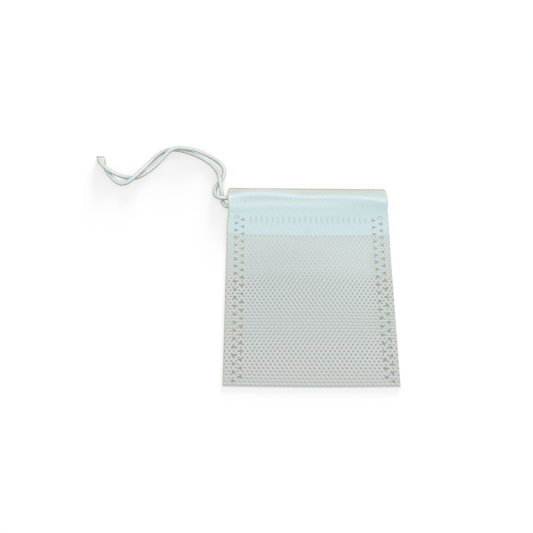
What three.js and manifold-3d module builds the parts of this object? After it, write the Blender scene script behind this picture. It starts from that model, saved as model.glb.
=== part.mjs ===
// A drawstring tea filter bag, lying flat and empty. One sheet of thin spunbonded cloth is folded
// across the bottom, hemmed inwards at the mouth and spot-welded, and one cord runs through both hems.
// Millimetres, +Z up. The origin is in the middle of the bag's footprint, on the surface it lies on.
// +X is to the right and +Y is towards the mouth.
import * as THREE from 'three';
import { mergeVertices } from 'three/addons/utils/BufferGeometryUtils.js';
import Module from 'manifold-3d';

const wasm = await Module();
wasm.setup();

// The bag
const bagWidth = 70;
const bagLength = 90;
const hemDepth = 23.4;
const sheetThickness = 0.2;

// The air that the limp sheet leaves between its layers
const plyGap = 0.15;
const mouthGap = 0.2;
const seamGap = 0.12;
const foldGap = 0.3;
const pocketGap = 0.5;
const crestHeight = 1.9;
const crestX = 5;
const crestDepth = 37;
const crestReachX = 26;
const crestReachY = 12;
const hemFall = 6;
const foldFall = 4;
const pocketRise = 22;

// The cord, and the two tunnels that it lies in
const cordDiameter = 1.8;
const cordClearance = 0.2;
const cordSides = 8;
const tunnelSlope = 2.9;
const heldSpacing = 7;

// How far below the mouth each tunnel's stretch of cord lies, from the left edge to the right
const frontCordDepths = [5.9, 4.4, 3.9, 4.2, 4.9, 5.5, 5.7, 5.9, 6.2, 6.9, 7.8];
const backCordDepths = [9.6, 9.9, 9.4, 9.3, 9.3, 9.2, 8.9, 8.5, 8.1, 7.9, 7.8];

// At the right edge the cord turns from the front tunnel into the back one and draws the hems in
const turnSteps = 5;
const turnProud = 0.2;
const flapGather = 2.15;
const panelGather = 0.3;
const gatherReach = 6;
const cornerRadius = 1.6;
const cornerReach = 4;

// The side seams: two staggered columns of dart-shaped welds, which point at each other
const weldTopDepth = 16.1;
const seamPitch = 3.5;
const columnSpacing = 3.1;
const leftSeamInset = 5.7;
const rightSeamInset = 5.0;
const columnTaper = 0.7;
const rightSeamLean = 1.55;
const dartLength = 1.9;
const dartHead = 1.05;
const dartBase = 1.15;
const dartNeck = 0.35;
const foldMargin = 1;

// The row of short welds that closes each tunnel, level with the seams' first darts and between them
const tickPitch = 2.37;
const tickLength = 3.4;
const tickWidth = 0.45;
const tickMargin = 2.2;
const weldDepth = 0.08;

// The fused end, where both cut ends of the cord are melted together
const tipWide = 3.5;
const tipNarrow = 2.6;
const tipLength = 2.8;
const tipThickness = 1.7;
const tipLean = 0.28;
const tipBevel = 0.2;
const tipLift = 0.05;

const half = bagWidth / 2;
const mouthY = bagLength / 2;
const bottomY = -bagLength / 2;
const hemEdgeY = mouthY - hemDepth;
const weldTopY = mouthY - weldTopDepth;
const plyPitch = sheetThickness + plyGap;
const cordRadius = cordDiameter / 2;
const cordReach = cordRadius + cordClearance;
const { lerp, smoothstep } = THREE.MathUtils;

// The cord's free ends, from the left edge outwards, measured from the mouth's left corner. The third
// number is how far the cord's underside is raised. They twist round each other, and each crossing is a
// long low hump.
const frontEndPoints = [
  [-1.2, -6.15, 1.7],
  [-2.4, -6.3, 2.15],
  [-3.7, -6.1, 2.05],
  [-4.95, -5.0, 1.35],
  [-5.75, -3.1, 0.4],
  [-5.8, -1.0, 0.05],
  [-5.1, 1.0, 0.05],
  [-3.8, 2.9, 0.05],
  [-2.5, 5.2, 0.05],
  [-1.9, 7.8, 0.05],
  [-2.4, 10.5, 0.05],
  [-4.3, 13.2, 0.05],
  [-7.2, 15.5, 0.05],
  [-10.9, 17.4, 0.55],
  [-15.0, 18.7, 1.55],
  [-19.4, 19.3, 2.05],
  [-23.6, 19.4, 2.1],
  [-26.8, 17.9, 1.8],
  [-29.5, 15.2, 0.9],
  [-32.7, 11.7, 0.1],
  [-35.6, 8.8, 0.05],
  [-38.5, 6.4, 0.05],
  [-41.3, 5.0, 0.05],
  [-44.0, 4.9, 0.05],
  [-47.0, 5.5, 0.05],
  [-50.2, 6.4, 0.95],
  [-53.0, 7.5, 1.95],
  [-55.2, 9.4, 2.1],
  [-57.1, 11.6, 1.8],
  [-58.3, 13.3, 0.85],
  [-58.7, 14.6, 0.15],
];
const backEndPoints = [
  [-1.1, -9.0, 0.25],
  [-2.1, -7.5, 0.05],
  [-2.35, -5.4, 0.05],
  [-2.7, -3.2, 0.15],
  [-3.0, -1.1, 0.8],
  [-3.3, 1.0, 1.7],
  [-3.6, 2.8, 2.1],
  [-4.0, 4.8, 1.7],
  [-4.6, 7.1, 0.8],
  [-5.7, 9.5, 0.15],
  [-7.4, 11.8, 0.05],
  [-9.9, 13.9, 0.05],
  [-13.2, 16.1, 0.05],
  [-17.0, 17.9, 0.05],
  [-21.0, 19.3, 0.05],
  [-24.9, 20.0, 0.05],
  [-28.3, 19.6, 0.05],
  [-31.4, 17.6, 0.05],
  [-34.2, 14.6, 0.05],
  [-36.6, 11.1, 0.65],
  [-38.8, 7.5, 1.75],
  [-41.0, 4.7, 2.1],
  [-43.0, 3.0, 1.5],
  [-45.3, 2.0, 0.5],
  [-47.7, 1.9, 0.05],
  [-50.0, 3.1, 0.05],
  [-52.0, 5.1, 0.05],
  [-53.8, 7.4, 0.05],
  [-55.3, 9.9, 0.05],
  [-56.2, 12.2, 0.05],
  [-56.7, 14.6, 0.05],
];

// Even steps from one value to another, both ends included
function steps(from, to, count) {
  return Array.from({ length: count + 1 }, (_, i) => lerp(from, to, i / count));
}

// Where a held stretch of cord lies along Y, at a place across the bag
function cordLine(depths) {
  const line = new THREE.SplineCurve(depths.map((depth, i) => new THREE.Vector2(i, mouthY - depth)));
  return (x) => line.getPoint(THREE.MathUtils.clamp((x + half) / bagWidth, 0, 1)).y;
}

const frontCordY = cordLine(frontCordDepths);
const backCordY = cordLine(backCordDepths);

// A tunnel's upper wall rests one ply above its lower wall, and rises over the cord
function tunnelRoof(floorZ, cordZ, distance) {
  const rise = 1 - smoothstep(Math.abs(distance), cordReach, cordReach + tunnelSlope);
  return lerp(floorZ + plyPitch, cordZ + cordReach + sheetThickness / 2, rise);
}

// The middle height of each layer of the sheet, from the surface up
const backPanelZ = sheetThickness / 2;
const backCordZ = sheetThickness + cordReach;
const backFlapZ = (x, y) => tunnelRoof(backPanelZ, backCordZ, y - backCordY(x));
const frontFlapZ = (x, y) => backFlapZ(x, y) + sheetThickness + mouthGap;

// The front stretch of cord lies on the front hem's inner wall, wherever across its section that is highest
function frontCordZ(x) {
  const y = frontCordY(x);
  const heights = steps(-cordReach, cordReach, 8).map((offset) => {
    const arc = Math.sqrt(Math.max(cordReach ** 2 - offset ** 2, 0));
    return frontFlapZ(x, y + offset) + sheetThickness / 2 + arc;
  });
  return Math.max(...heights);
}

// The pocket is shut along the seams and the bottom fold. Between them it stands a little open, most of
// all in a low crest below the hem, which the cord keeps up.
function pocketHeight(x, y) {
  const seamX = half - leftSeamInset - columnSpacing;
  const across = 1 - Math.min(Math.abs(x) / seamX, 1) ** 2.5;
  const up = 1 - (1 - Math.min((y - bottomY) / pocketRise, 1)) ** 2;
  const far = ((x - crestX) / crestReachX) ** 2 + ((y - (mouthY - crestDepth)) / crestReachY) ** 2;
  const open = seamGap + across * ((pocketGap - seamGap) * up + crestHeight * Math.exp(-far));
  return lerp(foldGap, open, smoothstep(y, bottomY, bottomY + foldFall));
}

function frontPanelZ(x, y) {
  const body = backPanelZ + sheetThickness + pocketHeight(x, y);
  if (y < hemEdgeY - hemFall) {
    return body;
  }
  const hem = tunnelRoof(frontFlapZ(x, y), frontCordZ(x), y - frontCordY(x));
  return lerp(body, hem, smoothstep(y, hemEdgeY - hemFall, hemEdgeY));
}

// The turn of the cord pulls the right-hand ends of the layers in, the flaps more than the panels,
// and the mouth's corners are a little rounded
function drawnIn(x, y, gather) {
  const near = 1 - smoothstep(Math.abs(y - frontCordY(half)), 0, gatherReach);
  const gathered = gather * near * smoothstep(x, half - gatherReach, half);
  const past = Math.max(y - (mouthY - cornerRadius), 0);
  const rounded = cornerRadius - Math.sqrt(cornerRadius ** 2 - past ** 2);
  return x - gathered - Math.sign(x) * rounded * smoothstep(Math.abs(x), half - cornerReach, half);
}

// One row across the sheet: given a place across the bag, a point on the middle of the sheet
const flat = (height, gather) => (y) => (x) => new THREE.Vector3(drawnIn(x, y, gather), y, height(x, y));

// Rows round a fold, which turns a layer over onto the next one with its outside at the given edge
function foldRows(fromHeight, toHeight, edgeY, outward, gap, count) {
  const radius = (sheetThickness + gap) / 2;
  const y = edgeY - outward * (sheetThickness / 2 + radius);
  return steps(0, Math.PI, count).map((turn) => (x) => {
    const middle = (fromHeight(x, y) + toHeight(x, y)) / 2;
    const from = Math.sign(fromHeight(x, y) - toHeight(x, y));
    const foldY = y + outward * radius * Math.sin(turn);
    return new THREE.Vector3(drawnIn(x, foldY, 0), foldY, middle + from * radius * Math.cos(turn));
  });
}

// The rows of the whole sheet, from the back hem's free edge to the front hem's free edge
function sheetRows() {
  const tunnelFoot = mouthY - Math.max(...backCordDepths) - cordReach - tunnelSlope;
  const mouthRow = mouthY - sheetThickness / 2 - plyPitch / 2;
  const bottomRow = bottomY + sheetThickness / 2 + (sheetThickness + foldGap) / 2;
  const weldedYs = steps(hemEdgeY, tunnelFoot, 2).slice(0, -1);
  const tunnelYs = steps(tunnelFoot, mouthRow, 12).slice(0, -1);
  const hemYs = [...weldedYs, ...tunnelYs];
  const bodyYs = [
    ...steps(bottomRow, bottomY + pocketRise, 5),
    ...steps(bottomY + pocketRise, hemEdgeY - hemFall, 7).slice(1),
    hemEdgeY - hemFall / 2,
  ];
  const backPanel = () => backPanelZ;
  return [
    ...hemYs.map(flat(backFlapZ, flapGather)),
    ...foldRows(backFlapZ, backPanel, mouthY, 1, plyGap, 4),
    ...[frontCordY(half), hemEdgeY, 0].map(flat(backPanel, panelGather)),
    ...foldRows(backPanel, frontPanelZ, bottomY, -1, foldGap, 6),
    ...bodyYs.slice(1).map(flat(frontPanelZ, panelGather)),
    ...hemYs.map(flat(frontPanelZ, panelGather)),
    ...foldRows(frontPanelZ, frontFlapZ, mouthY, 1, plyGap, 4),
    ...hemYs.reverse().map(flat(frontFlapZ, flapGather)),
  ];
}

// Places across the bag: close together at the seams and at the gathered right edge
function placesAcross() {
  const seamX = half - leftSeamInset - columnSpacing;
  const middle = steps(-seamX, seamX, 11);
  return [-half, -(half + seamX) / 2, ...middle, (2 * seamX + half) / 3, (seamX + 2 * half) / 3, half];
}

// A sheet of even thickness about a grid of points, as one closed solid
function thickSheet(grid, thickness) {
  const rows = grid.length;
  const columns = grid[0].length;
  const at = (j, i) => grid[THREE.MathUtils.clamp(j, 0, rows - 1)][THREE.MathUtils.clamp(i, 0, columns - 1)];
  const positions = [];
  for (const side of [1, -1]) {
    for (let j = 0; j < rows; j += 1) {
      for (let i = 0; i < columns; i += 1) {
        const across = at(j, i + 1).clone().sub(at(j, i - 1));
        const along = at(j + 1, i).clone().sub(at(j - 1, i));
        const normal = along.cross(across).normalize();
        positions.push(...at(j, i).clone().addScaledVector(normal, side * thickness / 2).toArray());
      }
    }
  }
  const under = rows * columns;
  const index = [];
  const quad = (a, b, c, d) => index.push(a, b, c, a, c, d);
  for (let j = 0; j < rows - 1; j += 1) {
    for (let i = 0; i < columns - 1; i += 1) {
      const a = j * columns + i;
      quad(a, a + columns, a + columns + 1, a + 1);
      quad(under + a, under + a + 1, under + a + columns + 1, under + a + columns);
    }
  }
  for (let j = 0; j < rows - 1; j += 1) {
    const left = j * columns;
    const right = left + columns - 1;
    quad(left, under + left, under + left + columns, left + columns);
    quad(right, right + columns, under + right + columns, under + right);
  }
  for (let i = 0; i < columns - 1; i += 1) {
    const last = (rows - 1) * columns + i;
    quad(i, i + 1, under + i + 1, under + i);
    quad(last, under + last, under + last + 1, last + 1);
  }
  const geometry = new THREE.BufferGeometry();
  geometry.setAttribute('position', new THREE.Float32BufferAttribute(positions, 3));
  geometry.setIndex(index);
  return geometry;
}

function solidFrom(geometry) {
  const bare = geometry.clone();
  bare.deleteAttribute('normal');
  bare.deleteAttribute('uv');
  const merged = mergeVertices(bare, 1e-4);
  const mesh = new wasm.Mesh({
    numProp: 3,
    vertProperties: new Float32Array(merged.attributes.position.array),
    triVerts: new Uint32Array(merged.index.array),
  });
  return new wasm.Manifold(mesh);
}

function geometryFrom(solid) {
  const mesh = solid.getMesh();
  const geometry = new THREE.BufferGeometry();
  geometry.setAttribute('position', new THREE.BufferAttribute(mesh.vertProperties, 3));
  geometry.setIndex(new THREE.BufferAttribute(mesh.triVerts, 1));
  return geometry;
}

// An upright prism on a closed outline, from one height to another
function prism(outline, lowZ, highZ) {
  const shape = new THREE.Shape(outline.map(([x, y]) => new THREE.Vector2(x, y)));
  const geometry = new THREE.ExtrudeGeometry(shape, { depth: highZ - lowZ, bevelEnabled: false });
  geometry.translate(0, 0, lowZ);
  return solidFrom(geometry);
}

// A dart with its point towards the seam's middle line; towards is 1 or -1 along X
function dartOutline(x, y, towards) {
  const back = x - towards * dartLength / 2;
  const neck = back + towards * dartHead;
  const outline = [
    [back, y - dartBase / 2],
    [neck, y - dartNeck / 2],
    [back + towards * dartLength, y],
    [neck, y + dartNeck / 2],
    [back, y + dartBase / 2],
  ];
  return towards > 0 ? outline : outline.reverse();
}

function tickOutline(x, y) {
  const w = tickWidth / 2;
  const l = tickLength / 2;
  return [[x - w, y - l], [x + w, y - l], [x + w, y + l], [x - w, y + l]];
}

const lowest = (height, outline) => Math.min(...outline.map(([x, y]) => height(x, y)));

// The middle of a seam's column of welds, at a place along the bag; column is 1 for the right-hand one.
// The columns draw together down the bag, and the right-hand seam leans outwards.
function columnX(side, column, y) {
  const down = (weldTopY - y) / bagLength;
  const inset = side > 0 ? rightSeamInset - rightSeamLean * down : leftSeamInset;
  return side * (half - inset) + column * (columnSpacing - columnTaper * down) / 2;
}

// Where the welds are: each has its outline, and the heights of the layers that it presses together
function seamWelds() {
  const welds = [];
  for (const side of [-1, 1]) {
    for (const column of [-1, 1]) {
      const start = weldTopY - (column === side ? seamPitch / 2 : 0);
      for (let y = start; y - dartBase / 2 > bottomY + foldMargin; y -= seamPitch) {
        const outline = dartOutline(columnX(side, column, y), y, -column);
        welds.push({ outline, foot: backPanelZ, top: lowest(frontPanelZ, outline) + sheetThickness / 2 });
      }
    }
  }
  return welds;
}

function tickWelds() {
  const clear = dartLength / 2 + tickMargin;
  const first = columnX(-1, 1, weldTopY) + clear;
  const last = columnX(1, -1, weldTopY) - clear;
  const count = Math.floor((last - first) / tickPitch);
  const middle = (first + last) / 2;
  const reach = count * tickPitch / 2;
  return steps(middle - reach, middle + reach, count).map((x) => {
    const outline = tickOutline(x, weldTopY);
    return {
      outline,
      foot: lowest(frontFlapZ, outline),
      top: lowest(frontPanelZ, outline) + sheetThickness / 2,
      backTop: lowest(backFlapZ, outline),
    };
  });
}

// The folded sheet, joined through its layers at every weld, with each weld's print pressed into it
function makeFilterBag() {
  const places = placesAcross();
  const grid = sheetRows().map((row) => places.map(row));
  let bag = solidFrom(thickSheet(grid, sheetThickness));
  for (const { outline, foot, top, backTop } of [...seamWelds(), ...tickWelds()]) {
    bag = bag.add(prism(outline, foot, top - weldDepth));
    bag = bag.subtract(prism(outline, top - weldDepth, top + pocketGap));
    if (backTop) {
      bag = bag.add(prism(outline, weldDepth, backTop));
      bag = bag.subtract(prism(outline, -weldDepth, weldDepth));
    }
  }
  return geometryFrom(bag);
}

// The cord's route, with its steps spaced as its points are, so that they crowd in the bends
class CordRoute extends THREE.CatmullRomCurve3 {
  getUtoTmapping(u) {
    return u;
  }
}

function cordPoints() {
  const corner = new THREE.Vector3(-half, mouthY, 0);
  const freePoint = ([x, y, lift]) => new THREE.Vector3(x, y, lift + cordRadius).add(corner);
  const turnRadius = (frontCordZ(half) - backCordZ) / 2;
  const turnX = half + turnProud - cordRadius - turnRadius;
  const turnY = frontCordY(half);
  const heldCount = Math.round(bagWidth / heldSpacing);
  const heldXs = steps(-half, turnX, heldCount).slice(0, -1);
  const front = heldXs.map((x) => new THREE.Vector3(x, frontCordY(x), frontCordZ(x)));
  const back = heldXs.map((x) => new THREE.Vector3(x, backCordY(x), backCordZ));
  const turn = steps(Math.PI / 2, -Math.PI / 2, turnSteps).map((angle) => new THREE.Vector3(
    turnX + turnRadius * Math.cos(angle),
    turnY,
    backCordZ + turnRadius * (1 + Math.sin(angle)),
  ));
  return [
    ...frontEndPoints.map(freePoint).reverse(),
    ...front,
    ...turn,
    ...back.reverse(),
    ...backEndPoints.map(freePoint),
  ];
}

// The fused end widens towards its cut face, and lies over the last of both strands
function fusedTip(first, last) {
  const middle = first.clone().add(last).divideScalar(2);
  const shape = new THREE.Shape([
    new THREE.Vector2(tipLength * tipLean - tipNarrow / 2, -tipLength),
    new THREE.Vector2(tipLength * tipLean + tipNarrow / 2, -tipLength),
    new THREE.Vector2(tipWide / 2, 0),
    new THREE.Vector2(-tipWide / 2, 0),
  ]);
  const geometry = new THREE.ExtrudeGeometry(shape, {
    depth: tipThickness - 2 * tipBevel,
    bevelThickness: tipBevel,
    bevelSize: tipBevel,
    bevelOffset: -tipBevel,
    bevelSegments: 1,
  });
  geometry.translate(middle.x, middle.y + cordRadius, tipLift + tipBevel);
  return solidFrom(geometry);
}

function makeDrawstring() {
  const points = cordPoints();
  const section = new THREE.Shape(steps(0, 2 * Math.PI, cordSides).slice(0, -1).map(
    (angle) => new THREE.Vector2(cordRadius * Math.cos(angle), cordRadius * Math.sin(angle)),
  ));
  const tube = new THREE.ExtrudeGeometry(section, {
    steps: points.length - 1,
    extrudePath: new CordRoute(points),
    bevelEnabled: false,
  });
  return geometryFrom(solidFrom(tube).add(fusedTip(points[0], points[points.length - 1])));
}

// Materials
const sheetFinish = { color: 0xd2e0df, roughness: 0.85, metalness: 0 };
const cordFinish = { color: 0xe2f0f1, roughness: 0.9, metalness: 0 };

function namedMesh(name, geometry, finish) {
  const mesh = new THREE.Mesh(geometry, new THREE.MeshStandardMaterial(finish));
  mesh.name = name;
  return mesh;
}

const group = new THREE.Group();
group.add(namedMesh('filter_bag', makeFilterBag(), sheetFinish));
group.add(namedMesh('drawstring', makeDrawstring(), cordFinish));

export default group;
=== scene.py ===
"""A drawstring tea filter bag, lying flat and empty, with its cord and a plain stage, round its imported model."""

import math
from functools import partial, reduce

import bmesh
import bpy
import numpy as np
from bpy.props import FloatProperty, FloatVectorProperty, PointerProperty
from mathutils import Matrix, Quaternion, Vector


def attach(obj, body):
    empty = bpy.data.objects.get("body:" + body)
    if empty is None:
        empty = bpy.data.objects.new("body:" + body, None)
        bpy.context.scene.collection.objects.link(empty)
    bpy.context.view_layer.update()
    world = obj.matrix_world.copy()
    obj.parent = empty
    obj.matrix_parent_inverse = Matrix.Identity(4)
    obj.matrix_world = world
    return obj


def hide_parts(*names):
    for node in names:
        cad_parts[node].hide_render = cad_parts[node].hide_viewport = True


bl_info = {
    "name": "Drawstring filter bag",
    "version": (1, 0, 0),
    "blender": (4, 5, 0),
    "location": "View3D > Sidebar > Filter bag",
    "description": "Makes an embossed cloth filter bag with its drawstring, on the packed model",
    "category": "Object",
}

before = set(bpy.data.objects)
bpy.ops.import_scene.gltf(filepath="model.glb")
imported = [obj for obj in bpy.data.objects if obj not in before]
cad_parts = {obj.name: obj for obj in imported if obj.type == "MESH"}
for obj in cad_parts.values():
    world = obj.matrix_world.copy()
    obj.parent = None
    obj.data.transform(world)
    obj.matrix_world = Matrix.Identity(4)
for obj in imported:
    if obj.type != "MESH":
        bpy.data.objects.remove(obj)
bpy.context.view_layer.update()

# The bag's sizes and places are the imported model's, in metres
HALF = 0.035
MOUTH_Y = 0.045
BOTTOM_Y = -0.045

# How far below the mouth each tunnel's stretch of cord lies, from the left edge to the right
FRONT_CORD_DEPTHS = (0.0059, 0.0044, 0.0039, 0.0042, 0.0049, 0.0055, 0.0057, 0.0059, 0.0062, 0.0069, 0.0078)
BACK_CORD_DEPTHS = (0.0096, 0.0099, 0.0094, 0.0093, 0.0093, 0.0092, 0.0089, 0.0085, 0.0081, 0.0079, 0.0078)

# The cord's free ends, from the left edge outwards, measured from the mouth's left corner.
# The third number is how far the cord's underside is raised.
FRONT_END_POINTS = (
    (-0.0012, -0.00615, 0.0017), (-0.0024, -0.0063, 0.00215), (-0.0037, -0.0061, 0.00205),
    (-0.00495, -0.005, 0.00135), (-0.00575, -0.0031, 0.0004), (-0.0058, -0.001, 0.00005),
    (-0.0051, 0.001, 0.00005), (-0.0038, 0.0029, 0.00005), (-0.0025, 0.0052, 0.00005),
    (-0.0019, 0.0078, 0.00005), (-0.0024, 0.0105, 0.00005), (-0.0043, 0.0132, 0.00005),
    (-0.0072, 0.0155, 0.00005), (-0.0109, 0.0174, 0.00055), (-0.015, 0.0187, 0.00155),
    (-0.0194, 0.0193, 0.00205), (-0.0236, 0.0194, 0.0021), (-0.0268, 0.0179, 0.0018),
    (-0.0295, 0.0152, 0.0009), (-0.0327, 0.0117, 0.0001), (-0.0356, 0.0088, 0.00005),
    (-0.0385, 0.0064, 0.00005), (-0.0413, 0.005, 0.00005), (-0.044, 0.0049, 0.00005),
    (-0.047, 0.0055, 0.00005), (-0.0502, 0.0064, 0.00095), (-0.053, 0.0075, 0.00195),
    (-0.0552, 0.0094, 0.0021), (-0.0571, 0.0116, 0.0018), (-0.0583, 0.0133, 0.00085),
    (-0.0587, 0.0146, 0.00015),
)
BACK_END_POINTS = (
    (-0.0011, -0.009, 0.00025), (-0.0021, -0.0075, 0.00005), (-0.00235, -0.0054, 0.00005),
    (-0.0027, -0.0032, 0.00015), (-0.003, -0.0011, 0.0008), (-0.0033, 0.001, 0.0017),
    (-0.0036, 0.0028, 0.0021), (-0.004, 0.0048, 0.0017), (-0.0046, 0.0071, 0.0008),
    (-0.0057, 0.0095, 0.00015), (-0.0074, 0.0118, 0.00005), (-0.0099, 0.0139, 0.00005),
    (-0.0132, 0.0161, 0.00005), (-0.017, 0.0179, 0.00005), (-0.021, 0.0193, 0.00005),
    (-0.0249, 0.02, 0.00005), (-0.0283, 0.0196, 0.00005), (-0.0314, 0.0176, 0.00005),
    (-0.0342, 0.0146, 0.00005), (-0.0366, 0.0111, 0.00065), (-0.0388, 0.0075, 0.00175),
    (-0.041, 0.0047, 0.0021), (-0.043, 0.003, 0.0015), (-0.0453, 0.002, 0.0005),
    (-0.0477, 0.0019, 0.00005), (-0.05, 0.0031, 0.00005), (-0.052, 0.0051, 0.00005),
    (-0.0538, 0.0074, 0.00005), (-0.0553, 0.0099, 0.00005), (-0.0562, 0.0122, 0.00005),
    (-0.0567, 0.0146, 0.00005),
)


class CordSettings(bpy.types.PropertyGroup):
    """Sizes and colours of the cord"""

    diameter: FloatProperty(name="Diameter", description="Across the cord", default=0.0018, unit="LENGTH")
    twist_pitch: FloatProperty(
        name="Twist pitch", description="Length of one whole turn of the plies", default=0.0048, unit="LENGTH"
    )
    ply_depth: FloatProperty(
        name="Ply depth", description="How deep the grooves between the plies are, as a share of the radius",
        default=0.06, subtype="FACTOR",
    )
    step: FloatProperty(name="Step", description="Length of one step along the cord", default=0.00025, unit="LENGTH")
    colour: FloatVectorProperty(
        name="Colour", description="The cord seen from above", default=(0.735, 0.835, 0.845), subtype="COLOR"
    )
    # Painted shade: the colour of the cord's sides and underside, which turn from the light; the cord's random
    # blotches take this colour too
    shade_and_blotch_colour: FloatVectorProperty(
        name="Shade and blotch colour", description="The cord's sides and underneath",
        default=(0.42, 0.375, 0.235), subtype="COLOR",
    )
    cut_colour: FloatVectorProperty(
        name="Cut colour", description="The rim of the fused and cut face",
        default=(0.40, 0.37, 0.25), subtype="COLOR",
    )


class ClothSettings(bpy.types.PropertyGroup):
    """Sizes and colours of the cloth"""

    dot_pitch: FloatProperty(
        name="Dot pitch", description="From one bond dot to the next in a row", default=0.001842, unit="LENGTH"
    )
    row_pitch: FloatProperty(
        name="Row pitch", description="From one row of bond dots to the next", default=0.001389, unit="LENGTH"
    )
    row_shift: FloatProperty(
        name="Row shift", description="How far each row is moved along from the one before",
        default=0.000968, unit="LENGTH",
    )
    dot_length: FloatProperty(
        name="Dot length", description="The long way across a bond dot", default=0.00078, unit="LENGTH"
    )
    dot_width: FloatProperty(
        name="Dot width", description="The short way across a bond dot", default=0.00052, unit="LENGTH"
    )
    dot_depth: FloatProperty(
        name="Dot depth", description="How deep a bond dot is pressed in", default=0.00004, unit="LENGTH"
    )
    weld_depth: FloatProperty(
        name="Weld depth", description="How deep the seam's welds are pressed in", default=0.00009, unit="LENGTH"
    )
    body_colour: FloatVectorProperty(
        name="Body colour", description="Two layers of cloth, below the hem",
        default=(0.612, 0.695, 0.692), subtype="COLOR",
    )
    low_colour: FloatVectorProperty(
        name="Low colour", description="Two layers of cloth, at the bottom fold",
        default=(0.588, 0.63, 0.625), subtype="COLOR",
    )
    hem_colour: FloatVectorProperty(
        name="Hem colour", description="Four layers of cloth", default=(0.615, 0.75, 0.77), subtype="COLOR"
    )
    mouth_colour: FloatVectorProperty(
        name="Mouth colour", description="The hem between the cord and the mouth",
        default=(0.665, 0.735, 0.71), subtype="COLOR",
    )
    dot_colour: FloatVectorProperty(
        name="Dot colour", description="Bond dots, where the fibres are melted clear",
        default=(0.245, 0.215, 0.135), subtype="COLOR",
    )
    weld_colour: FloatVectorProperty(
        name="Weld colour", description="Pressed welds", default=(0.355, 0.325, 0.22), subtype="COLOR"
    )
    edge_colour: FloatVectorProperty(
        name="Edge colour", description="The folded and cut edges", default=(0.48, 0.44, 0.28), subtype="COLOR"
    )


class StageSettings(bpy.types.PropertyGroup):
    """The lamps, the floor and the camera"""

    lens: FloatProperty(name="Lens", description="Focal length in millimetres on a 36 mm sensor", default=49.51)
    camera_place: FloatVectorProperty(
        name="Camera place", description="Where the camera stands",
        default=(-0.0193, -0.12251, 0.28196), subtype="TRANSLATION", unit="LENGTH",
    )
    camera_aim: FloatVectorProperty(
        name="Camera aim", description="The point in the middle of the view",
        default=(-0.01784, 0.00707, 0.0), subtype="TRANSLATION", unit="LENGTH",
    )
    camera_roll: FloatProperty(
        name="Camera roll", description="Turn about the line of sight", default=math.radians(0.14), subtype="ANGLE"
    )
    high_lamp: FloatProperty(
        name="High lamp", description="Strength of the soft lamp above, to the right", default=0.45
    )
    low_lamp: FloatProperty(name="Low lamp", description="Strength of the soft lamp low on the right", default=0.85)
    floor_lamp: FloatProperty(
        name="Floor lamp", description="Strength of the lamp that lights only the floor, where the object blocks it",
        default=10.5,
    )
    fill: FloatProperty(name="Fill", description="Strength of the even light from all round", default=0.82)


def smoothstep(value, low, high):
    part = np.clip((value - low) / (high - low), 0, 1)
    return part * part * (3 - 2 * part)


def blend(low, high, part):
    return low + (high - low) * part


def bell(value, middle, width):
    return np.exp(-(((value - middle) / width) ** 2))


def band(low, high):
    """The faces between two rings of as many points."""
    count = len(low)
    return [(low[i], low[(i + 1) % count], high[(i + 1) % count], high[i]) for i in range(count)]


def cubic(here, after, start, end, part):
    """A curve between two values, with the slopes that it starts and ends with."""
    bend = (2 * here - 2 * after + start + end) * part**3
    return bend + (3 * after - 3 * here - 2 * start - end) * part**2 + start * part + here


def spline_through(values, place):
    """A smooth line through evenly spaced values, at places from 0 to 1."""
    values = np.asarray(values)
    last = len(values) - 1
    position = np.clip(place, 0, 1) * last
    index = np.floor(position).astype(int)
    part = position - index
    before, here = values[np.maximum(index - 1, 0)], values[index]
    after, beyond = values[np.minimum(index + 1, last)], values[np.minimum(index + 2, last)]
    start, end = (after - before) / 2, (beyond - here) / 2
    return cubic(here, after, start, end, part)


def smooth_route(points, per_span):
    """A centripetal curve through points, as a close row of points."""
    points = np.asarray(points, float)
    padded = np.vstack([2 * points[0] - points[1], points, 2 * points[-1] - points[-2]])
    row = []
    for i in range(len(points) - 1):
        a, b, c, d = padded[i : i + 4]
        before, span, after = (math.sqrt(np.linalg.norm(q - p)) for p, q in ((a, b), (b, c), (c, d)))
        start = ((b - a) / before - (c - a) / (before + span) + (c - b) / span) * span
        end = ((c - b) / span - (d - b) / (span + after) + (d - c) / after) * span
        part = np.linspace(0, 1, per_span, endpoint=False)[:, None]
        row.append(cubic(b, c, start, end, part))
    return np.vstack([*row, points[-1:]])


def distances(path):
    """How far along a path each of its points is."""
    return np.concatenate([[0], np.cumsum(np.linalg.norm(np.diff(path, axis=0), axis=1))])


# The sheet's layers and the cord in its tunnels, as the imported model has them: how thick the sheet is, how far apart
# the middles of two touching layers are, how far a tunnel's roof stays from the cord's middle, how wide the roof's
# slope is, the gap between the two flaps, and how far the cord's turn stands out of the bag's right edge
THICKNESS = 0.0002
PLY_PITCH = 0.00035
CORD_REACH = 0.0011
TUNNEL_SLOPE = 0.0029
FLAP_GAP = 0.0002
TURN_OUTSIDE = 0.0002
BACK_PANEL_Z = THICKNESS / 2
BACK_CORD_Z = THICKNESS + CORD_REACH


def front_cord_y(x):
    return MOUTH_Y - spline_through(FRONT_CORD_DEPTHS, (x + HALF) / (2 * HALF))


def back_cord_y(x):
    return MOUTH_Y - spline_through(BACK_CORD_DEPTHS, (x + HALF) / (2 * HALF))


def tunnel_roof(floor_z, cord_z, distance):
    rise = 1 - smoothstep(np.abs(distance), CORD_REACH, CORD_REACH + TUNNEL_SLOPE)
    return blend(floor_z + PLY_PITCH, cord_z + CORD_REACH + THICKNESS / 2, rise)


def back_flap_z(x, y):
    return tunnel_roof(BACK_PANEL_Z, BACK_CORD_Z, y - back_cord_y(x))


def front_flap_z(x, y):
    return back_flap_z(x, y) + THICKNESS + FLAP_GAP


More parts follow.
